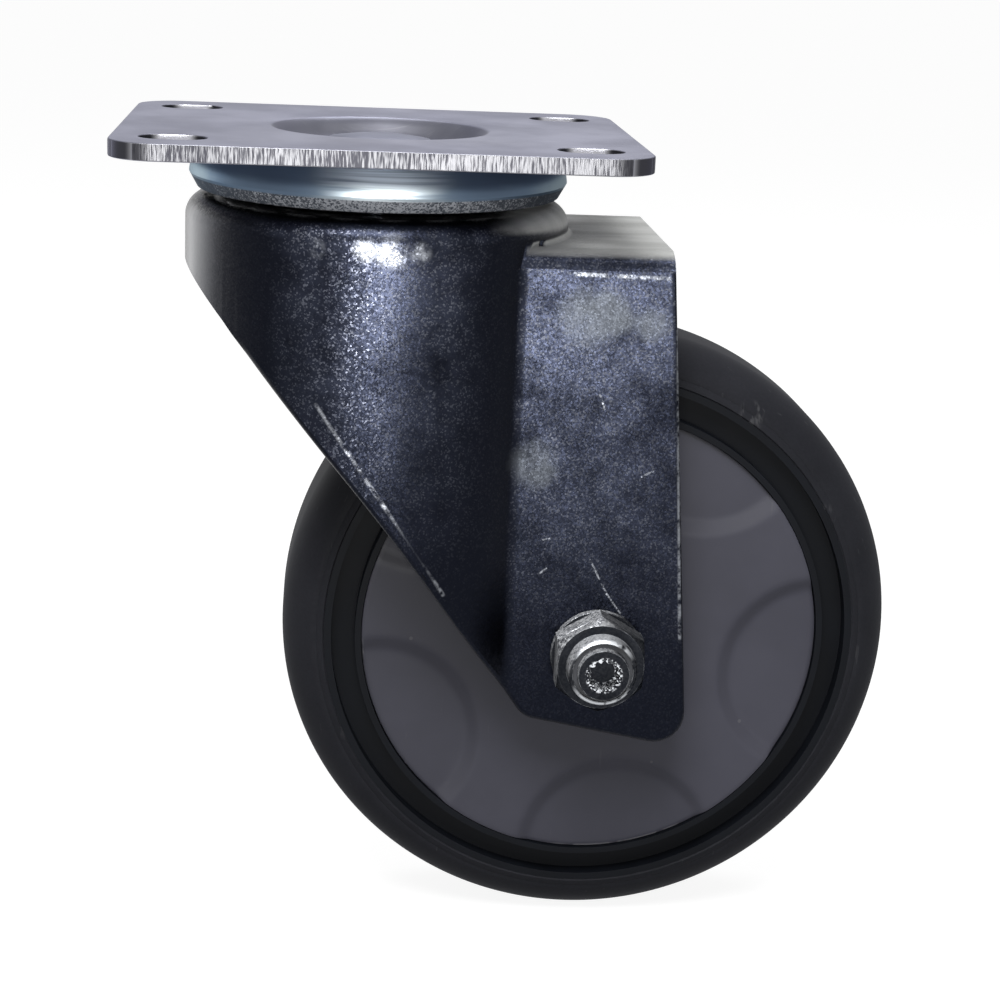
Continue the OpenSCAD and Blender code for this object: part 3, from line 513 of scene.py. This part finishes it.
def coverPlastic():  # satin grey moulding with a fine skin and a few specks, painted shade on the walls of the hollows and a painted highlight on the rim's edge at the bottom and left
    m, look = Finish("coverPlastic"), coverLook
    ny = m.axes(m.facing)[1]
    cloud = m.noise(*look["cloud"])
    dots = m.between(m.cells(look["dots"]), *look["dotStep"])
    dots = dots * m.between(m.noise(look["dotPatch"]), *look["dotGaps"])
    hair = m.between(m.drawn(*look["hair"]), *look["hairStep"])
    colour = m.blend(m.between(cloud, *look["cloudStep"]), look["grey"], look["pale"])
    # painted shade on the sloped walls of the hollows
    colour = m.blend(look["slopeShadeShare"] * m.between(abs(ny), *look["slopeShadeStep"]), colour, look["hollow"])
    colour = m.blend(look["dotShare"] * dots + look["hairShare"] * hair, colour, look["speck"])
    # painted highlight: a thin bright line on the rim's edge at the bottom and the left
    lip = m.spots(look["lipHighlightSpots"]) * m.between(m.fromAxle(), look["lipFrom"] * mm, look["lipTo"] * mm)
    gaps = m.between(m.noise(look["lipGrain"]), *look["lipGaps"])
    colour = m.blend(look["lipShare"] * lip * gaps, colour, look["lip"])
    return m.surface({"Base Color": colour, "Roughness": look["roughness"] + look["cloudRough"] * cloud,
                      "Specular IOR Level": look["specular"],
                      "Normal": m.relief(m.noise(*look["skin"]), *look["skinRelief"])})


finishes = {"zinc_plate": zincPlate(), "zinc_dish": zincDish(), "zinc_fork": zincFork(),
            "pin_steel": pinSteel(), "ball_steel": ballSteel(), "nylon": nylonPiece(),
            "tyre_rubber": tyreRubber(), "rim_plastic": rimPlastic(), "cover_plastic": coverPlastic()}
print("finishes made:", len(finishes))

for name, node in nodes.items():  # every node takes its finish, also where it is hidden
    node.data.materials.clear()
    node.data.materials.append(finishes[slotOf[name]])


def linked(name, mesh):
    piece = bpy.data.objects.new(name, mesh)
    bpy.context.scene.collection.objects.link(piece)
    return piece


def plainMesh(piece):  # bakes the modifiers into the mesh
    bpy.context.view_layer.update()
    made = bpy.data.meshes.new_from_object(piece.evaluated_get(bpy.context.evaluated_depsgraph_get()))
    piece.modifiers.clear()
    piece.data = made
    return piece


def standFor(piece, node):  # the piece joins a node's body and stands in its place, and the node is hidden
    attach(piece, bodyOf[node])
    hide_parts(node)
    print("made", piece.name, "for", node, "faces", len(piece.data.polygons))


class Maker(Bench):  # a geometry tree with named inputs
    def __init__(self, name, inputs):
        super().__init__(bpy.data.node_groups.new(name, "GeometryNodeTree"))
        face = self.tree.interface
        face.new_socket("Geometry", in_out="INPUT", socket_type="NodeSocketGeometry")
        self.ids = {label: face.new_socket(label, in_out="INPUT", socket_type="NodeSocket" + kind).identifier
                    for label, kind in inputs.items()}
        face.new_socket("Geometry", in_out="OUTPUT", socket_type="NodeSocketGeometry")
        self.given = self.add("NodeGroupInput")

    def end(self, shape):
        whole = self.add("GeometryNodeRealizeInstances", sockets={0: shape})
        painted = self.add("GeometryNodeSetMaterial",
                           sockets={"Geometry": whole, "Material": self.given.other("Finish")})
        self.add("NodeGroupOutput", sockets={0: painted})
        return self

    def placed(self, shape):  # turned by Lay and moved to Centre
        lay, centre = self.given.other("Lay"), self.given.other("Centre")
        return self.end(self.add("GeometryNodeTransform",
                                 sockets={"Geometry": shape, "Rotation": lay, "Translation": centre}))

    def make(self, name, values, mesh=None):
        piece = linked(name, mesh or bpy.data.meshes.new(name))
        grow = piece.modifiers.new("grow", "NODES")
        grow.node_group = self.tree
        for label, value in values.items():
            grow[self.ids[label]] = value
        return plainMesh(piece)


def turnedTree():  # turns the points of a section round an axis
    m = Maker("turnedTree", {"Steps": "Int", "Centre": "Vector", "Axis": "Vector", "Finish": "Material"})
    asked = m.given.other
    steps = asked("Steps")
    points = m.add("GeometryNodeAttributeDomainSize", sockets={"Geometry": m.given}, out="Point Count")
    sheet = m.add("GeometryNodeMeshGrid", sockets={"Vertices X": steps + 1, "Vertices Y": points})
    index = m.add("GeometryNodeInputIndex")
    section = m.add("GeometryNodeSampleIndex", {"data_type": "FLOAT_VECTOR"}, {
        "Geometry": m.given, "Value": m.add("GeometryNodeInputPosition"), "Index": index % points})
    angle = (index / points).maths("FLOOR") * math.tau / steps
    turned = m.add("ShaderNodeVectorRotate", {"rotation_type": "AXIS_ANGLE"}, {
        "Vector": section, "Center": asked("Centre"), "Axis": asked("Axis"), "Angle": angle})
    shape = m.add("GeometryNodeSetPosition", sockets={"Geometry": sheet, "Position": turned})
    return m.end(m.add("GeometryNodeMergeByDistance", sockets={"Geometry": shape, "Distance": 1e-6}))


def ringTree():  # sets copies of one shape in a ring round an axis
    m = Maker("ringTree", {"Count": "Int", "Pitch Radius": "Float", "Centre": "Vector", "Lay": "Vector",
                           "Finish": "Material"})
    circle = m.add("GeometryNodeMeshCircle", sockets={"Vertices": m.given.other("Count"),
                                                      "Radius": m.given.other("Pitch Radius")})
    return m.placed(m.add("GeometryNodeInstanceOnPoints", sockets={"Points": circle, "Instance": m.given}))


def threadTree():  # winds a ridge round a rod
    m = Maker("threadTree", {"Turns": "Float", "Rod Radius": "Float", "Run": "Float", "Ridge": "Float",
                             "Centre": "Vector", "Lay": "Vector", "Finish": "Material"})
    asked = m.given.other
    coil = m.add("GeometryNodeCurveSpiral", sockets={
        "Resolution": 64, "Rotations": asked("Turns"), "Start Radius": asked("Rod Radius"),
        "End Radius": asked("Rod Radius"), "Height": asked("Run")})
    bead = m.add("GeometryNodeCurvePrimitiveCircle", sockets={"Resolution": 6, "Radius": asked("Ridge")})
    return m.placed(m.add("GeometryNodeCurveToMesh",
                          sockets={"Curve": coil, "Profile Curve": bead, "Fill Caps": True}))


def scallopTree():  # presses a ring of round hollows into the face of a disc
    m = Maker("scallopTree", {"Count": "Int", "Turn": "Float", "Pitch Radius": "Float",
                              "Hollow Radius": "Float", "Slope": "Float", "Depth": "Float", "Face": "Float",
                              "Seat": "Float", "Centre": "Vector", "Finish": "Material"})
    asked = m.given.other
    x, y, z = m.axes(m.vector("SUBTRACT", m.add("GeometryNodeInputPosition"), asked("Centre")))
    part = math.tau / asked("Count")
    swing = (z.maths("ARCTAN2", x) - asked("Turn") + part / 2) % part - part / 2
    away, pitch = (x * x + z * z).maths("SQRT"), asked("Pitch Radius")
    gap = away * away + pitch * pitch - 2 * away * pitch * swing.maths("COSINE")
    gap = gap.maths("MAXIMUM").maths("SQRT")
    hollow = m.between(gap, asked("Hollow Radius"), asked("Hollow Radius") - asked("Slope"))
    share = m.between(y, asked("Seat"), asked("Face"))
    push = asked("Depth") * hollow * share * (asked("Seat") - asked("Face")).maths("SIGN")
    offset = m.add("ShaderNodeCombineXYZ", sockets={"Y": push})
    return m.end(m.add("GeometryNodeSetPosition", sockets={"Geometry": m.given, "Offset": offset}))


turned, ringOf, thread, scalloped = turnedTree(), ringTree(), threadTree(), scallopTree()
edgeWork = {"merge": 2e-6, "flat": math.radians(0.6), "smooth": math.radians(32),
            "bevelAngle": math.radians(38), "segments": 2}  # metres and radians


def sectionMesh(name, points):
    mesh = bpy.data.meshes.new(name)
    mesh.from_pydata(points, [(i, i + 1) for i in range(len(points) - 1)], [])
    return mesh


def turnedMesh(name, points, steps, finish, centre=(0, 0, 0), axis=(0, 0, 1)):  # for another tree to use
    piece = turned.make(name, {"Steps": steps, "Centre": centre, "Axis": axis, "Finish": finishes[finish]},
                        sectionMesh(name, points))
    mesh = piece.data
    bpy.data.objects.remove(piece)
    return mesh


def arc(middle, radius, start, end, steps):  # points on an arc, angles in degrees from the first axis
    turns = [math.radians(start + (end - start) * i / steps) for i in range(steps + 1)]
    return [(middle[0] + radius * math.cos(t), middle[1] + radius * math.sin(t)) for t in turns]


def smoothed(piece, angle=edgeWork["smooth"]):  # faces outwards, soft shading with sharp creases
    work = bmesh.new()
    work.from_mesh(piece.data)
    bmesh.ops.recalc_face_normals(work, faces=work.faces)
    work.to_mesh(piece.data)
    work.free()
    piece.data.shade_smooth()
    piece.data.set_sharp_from_angle(angle=angle)
    return piece


def onAxle(section):  # a section of radius and side, set in the half plane above the axle
    return [(axle.x, axle.y + side, axle.z + radius) for radius, side in section]


tyreShape = {"shoulder": 10.5, "seat": 54.02, "keyDepth": 2.5, "keyHalf": 10.0, "lip": 0.3, "line": 55.6,
             "lineDepth": 0.22, "lineHalf": 0.5, "lineClear": 0.8, "steps": 288, "arcSteps": 18}


def tyreBand():  # turned band with round shoulders, a fine line by the rim and a key in the rim groove
    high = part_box("tyre")[1]
    outer, r, width = (high.z - axle.z) / mm, tyreShape["shoulder"], high.y / mm
    seat, line, lip = tyreShape["seat"], tyreShape["line"], tyreShape["lip"]
    swing = math.degrees(math.asin((r - outer + seat) / r))
    reach = width - r * math.cos(math.radians(swing))

    def side(radius, deep=0.0):  # a point of the shoulder
        return radius, reach + math.sqrt(r * r - (radius - outer + r) ** 2) - deep

    half = [(outer, 0.0)] + arc((outer - r, reach), r, 0, 90 + swing, tyreShape["arcSteps"])
    half = [point for point in half if point[0] > line + tyreShape["lineClear"]]
    half += [side(line + tyreShape["lineHalf"]), side(line, tyreShape["lineDepth"]),
             side(line - tyreShape["lineHalf"]), side(seat + lip), (seat, width - lip),
             (seat, tyreShape["keyHalf"]), (seat - tyreShape["keyDepth"], tyreShape["keyHalf"])]
    section = half + [(radius, -y) for radius, y in reversed(half)]
    mesh = sectionMesh("tyreBand", onAxle([(radius * mm, y * mm) for radius, y in section]))
    piece = turned.make("tyreBand", {"Steps": tyreShape["steps"], "Centre": axle, "Axis": (0, 1, 0),
                                     "Finish": finishes["tyre_rubber"]}, mesh)
    standFor(smoothed(piece), "tyre")


tyreBand()

coverShape = {"inner": 15.3, "outer": 46.4, "edge": 0.25, "ease": 0.3, "rings": 40, "steps": 320,
              "scallops": 5, "turn": -81, "pitch": 48, "radius": 21.5, "slope": 3.8, "depth": 1.0}


def wheelCover(node, name):  # turned disc with round hollows
    low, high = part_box(node)
    face, seat = (low.y, high.y) if low.y < axle.y else (high.y, low.y)
    inner, outer, edge, pitch, radius, slope, depth = (
        coverShape[key] * mm for key in ("inner", "outer", "edge", "pitch", "radius", "slope", "depth"))
    dip, ease, rings = edge if seat > face else -edge, coverShape["ease"], coverShape["rings"]
    span = [inner + edge + (outer - inner - 2 * edge) * i / rings for i in range(rings + 1)]
    section = [(inner, seat), (inner, face + dip)] + [(away, face) for away in span]
    section += [(outer - ease * edge, face + ease * dip), (outer, face + dip), (outer, seat), (inner, seat)]
    disc = turnedMesh(name, onAxle(section), coverShape["steps"], "cover_plastic", axle, (0, 1, 0))
    piece = scalloped.make(name, {
        "Count": coverShape["scallops"], "Turn": math.radians(coverShape["turn"]), "Pitch Radius": pitch,
        "Hollow Radius": radius, "Slope": slope, "Depth": depth, "Face": face, "Seat": seat, "Centre": axle,
        "Finish": finishes["cover_plastic"]}, disc)
    standFor(smoothed(piece), node)


wheelCover("cover_near", "coverNear")
wheelCover("cover_far", "coverFar")

ballShape = {"upper_balls": ("upperBalls", 21), "lower_balls": ("lowerBalls", 17)}
ballSteps = {"round": 24, "arc": 12}


def ballRings():
    for node, (name, count) in ballShape.items():
        low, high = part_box(node)
        radius = (high.z - low.z) / 2
        half = arc((0, 0), radius, -90, 90, ballSteps["arc"])
        ball = turnedMesh(name, [(x, 0, z) for x, z in half], ballSteps["round"], "ball_steel")
        ring = ringOf.make(name, {"Count": count, "Pitch Radius": high.x - radius, "Lay": (0, 0, 0),
                                  "Centre": (swivel.x, swivel.y, (low.z + high.z) / 2),
                                  "Finish": finishes["ball_steel"]}, ball)
        standFor(smoothed(ring), node)


ballRings()

rollerShape = {"count": 10, "radius": 2.0, "chamfer": 0.3, "steps": 24}


def rollerRing():  # rollers with chamfered ends
    low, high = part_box("roller_needles")
    half, r, cut = (high.y - low.y) / 2, rollerShape["radius"] * mm, rollerShape["chamfer"] * mm
    section = [(0, -half), (r - cut, -half), (r, cut - half), (r, half - cut), (r - cut, half), (0, half)]
    roller = turnedMesh("rollerRing", [(x, 0, z) for x, z in section], rollerShape["steps"], "ball_steel")
    ring = ringOf.make("rollerRing", {"Count": rollerShape["count"], "Pitch Radius": high.x - axle.x - r,
                                      "Lay": (math.radians(90), 0, 0), "Centre": axle,
                                      "Finish": finishes["ball_steel"]}, roller)
    standFor(smoothed(ring), "roller_needles")


rollerRing()

threadShape = {"turns": 2.0, "rodRadius": 4.95, "run": 1.1, "ridge": 0.16, "inset": 0.25, "smooth": 60}


def boltThread():  # the turns of thread that show past the nut
    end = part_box("axle_bolt")[0].y + threadShape["inset"] * mm
    ridge = thread.make("boltThread", {
        "Turns": threadShape["turns"], "Rod Radius": threadShape["rodRadius"] * mm,
        "Run": threadShape["run"] * mm, "Ridge": threadShape["ridge"] * mm, "Centre": (axle.x, end, axle.z),
        "Lay": (math.radians(-90), 0, 0), "Finish": finishes["pin_steel"]})
    smoothed(ridge, math.radians(threadShape["smooth"]))
    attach(ridge, "fork")


boltThread()


def nodeCopy(node, name):  # a node's mesh with its doubles merged and its flats made whole
    mesh = nodes[node].data.copy()
    mesh.name = name
    work = bmesh.new()
    work.from_mesh(mesh)
    bmesh.ops.remove_doubles(work, verts=work.verts, dist=edgeWork["merge"])
    bmesh.ops.dissolve_limit(work, angle_limit=edgeWork["flat"], verts=work.verts, edges=work.edges)
    return mesh, work


forkEdge = {"below": -38, "spinePast": 20, "outward": 0.6, "segments": 3}


def edgeWeights(work):  # only low edges of the fork's outer skin are rounded
    layer = work.edges.layers.float.new("bevel_weight_edge")
    for edge in work.edges:
        if len(edge.link_faces) != 2 or edge.calc_face_angle() < edgeWork["bevelAngle"]:
            continue
        middle = (edge.verts[0].co + edge.verts[1].co) / 2
        spine = Vector((min(max(middle.x, 0), axle.x + forkEdge["spinePast"] * mm), 0, middle.z))
        away = (middle - spine).normalized()
        outside = max(face.normal.dot(away) for face in edge.link_faces) > forkEdge["outward"]
        if outside and middle.z < forkEdge["below"] * mm:
            edge[layer] = 1.0


nutGroove = {"from": 4.0, "half": 0.22, "depth": 0.3, "beyond": 7.5, "touch": 1e-6, "cut": 1e-7}


def grooved(work):  # a fine groove round the nut's flats, square to the axle
    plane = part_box("axle_nut")[1].y - nutGroove["from"] * mm
    half, depth, beyond = (nutGroove[key] * mm for key in ("half", "depth", "beyond"))
    for side in (plane - half, plane, plane + half):
        bmesh.ops.bisect_plane(work, geom=work.verts[:] + work.edges[:] + work.faces[:],
                               plane_co=(0, side, 0), plane_no=(0, 1, 0), dist=nutGroove["cut"])
    for vert in work.verts:
        away = Vector((vert.co.x - axle.x, 0, vert.co.z - axle.z))
        if abs(vert.co.y - plane) < nutGroove["touch"] and away.length > beyond:
            vert.co -= away.normalized() * depth


dressed = {"top_plate": ("plateSheet", 0.35), "race_dish": ("raceDish", 0.15), "fork": ("forkPressing", 1.0),
           "kingpin": ("kingPin", 0.0), "lower_race": ("lowerCup", 0.0), "axle_nut": ("lockNut", 0.14),
           "axle_bolt": ("axleBolt", 0.10), "washer_near": ("washerNear", 0.15),
           "washer_far": ("washerFar", 0.15), "nut_ring": ("lockRing", 0.0),
           "wheel_rim": ("rimMoulding", 0.0)}  # new name and rounding
extraWork = {"fork": edgeWeights, "axle_nut": grooved}


def dress(node, name, edge):  # an edge-rounded, smooth copy of a node
    mesh, work = nodeCopy(node, name)
    if node in extraWork:
        extraWork[node](work)
    work.to_mesh(mesh)
    work.free()
    piece = linked(name, mesh)
    mesh.shade_smooth()
    mesh.set_sharp_from_angle(angle=edgeWork["smooth"])
    if edge:
        byWeight = node == "fork"
        bevel = piece.modifiers.new("edge", "BEVEL")
        bevel.limit_method, bevel.angle_limit = "WEIGHT" if byWeight else "ANGLE", edgeWork["bevelAngle"]
        bevel.width, bevel.segments = edge * mm, (forkEdge if byWeight else edgeWork)["segments"]
        bevel.harden_normals, bevel.use_clamp_overlap = not byWeight, not byWeight
        if byWeight:  # large faces keep their own normals beside the rounding
            piece.modifiers.new("faces", "WEIGHTED_NORMAL").keep_sharp = True
        plainMesh(piece)
    standFor(piece, node)


for node, (name, edge) in dressed.items():
    dress(node, name, edge)

studio = {"floorZ": cadBox[0].z, "floorHalf": 7.0, "floorColour": 0.26, "floorRoughness": 0.9,
          "floorGlow": 0.90, "world": 0.28}  # metres


def studioFloor():  # white to camera and mirrors, grey to other light
    half, level, grey = studio["floorHalf"], studio["floorZ"], studio["floorColour"]
    corners = ((-half, -half), (half, -half), (half, half), (-half, half))
    mesh = bpy.data.meshes.new("studioFloor")
    mesh.from_pydata([(x, y, level) for x, y in corners], [], [(0, 1, 2, 3)])
    m = Finish("paleFloor")
    mesh.materials.append(m.surface({
        "Base Color": (grey, grey, grey, 1), "Roughness": studio["floorRoughness"], "Specular IOR Level": 0.0,
        "Emission Color": m.seen() * studio["floorGlow"], "Emission Strength": 1.0}))
    linked("studioFloor", mesh)


def studioWorld():
    world = bpy.data.worlds.new("studioWorld")
    bpy.context.scene.world = world
    world.use_nodes = True
    b = Bench(world.node_tree)
    glow = b.add("ShaderNodeBackground", sockets={
        "Color": (1, 1, 1, 1), "Strength": studio["world"] + (1 - studio["world"]) * b.seen()})
    b.add("ShaderNodeOutputWorld", sockets={"Surface": glow})


lamps = {"frontBox": {"at": (0.0, -0.45, -0.025), "to": (0.01, -0.03, -0.04), "size": (0.14, 0.11),
                      "power": 1.7, "spread": False},
         "sideBox": {"at": (-0.47, 0.39, -0.08), "to": (-0.03, 0, -0.04), "size": (0.45, 0.45),
                     "power": 1.35, "spread": False},
         "keyBox": {"at": (-0.05, -0.32, 0.42), "to": (0.02, 0, -0.06), "size": (0.3, 0.3),
                    "power": 3.3, "spread": True},
         "backBox": {"at": (0.10, 0.50, 0.75), "to": (0.02, 0, -0.06), "size": (0.4, 0.4),
                     "power": 2.4, "spread": True}}  # metres, those without spread only show as highlights


def studioLamps():
    for name, lamp in lamps.items():
        light = bpy.data.lights.new(name, "AREA")
        light.shape, light.energy = "RECTANGLE", lamp["power"]
        light.size, light.size_y = lamp["size"]
        holder = linked(name, light)
        holder.location = lamp["at"]
        holder.rotation_euler = (Vector(lamp["to"]) - Vector(lamp["at"])).to_track_quat("-Z", "Y").to_euler()
        holder.visible_camera, holder.visible_diffuse = False, lamp["spread"]


shot = {"at": (-0.0108868, -0.4415646, 0.0437963), "right": (0.9964051698, -0.0739540074, 0.0413224194),
        "down": (0.0205213615, -0.2625444677, -0.9647016514),
        "ahead": (0.0821925257, 0.9620817051, -0.2600830280), "sensor": 36.0, "focal": 79.8264,
        "nearest": 0.01}  # metres, solved from the photograph's edges


def photoCamera():
    data = bpy.data.cameras.new("photoCamera")
    data.sensor_width, data.lens, data.clip_start = shot["sensor"], shot["focal"], shot["nearest"]
    camera = linked("photoCamera", data)
    right, up, back = Vector(shot["right"]), -Vector(shot["down"]), -Vector(shot["ahead"])
    turn = Matrix((right, up, back)).transposed().to_4x4()
    camera.matrix_world = Matrix.Translation(shot["at"]) @ turn
    bpy.context.scene.camera = camera


studioFloor()
studioWorld()
studioLamps()
photoCamera()
bpy.context.scene.view_settings.view_transform = "Standard"
print("studio set")
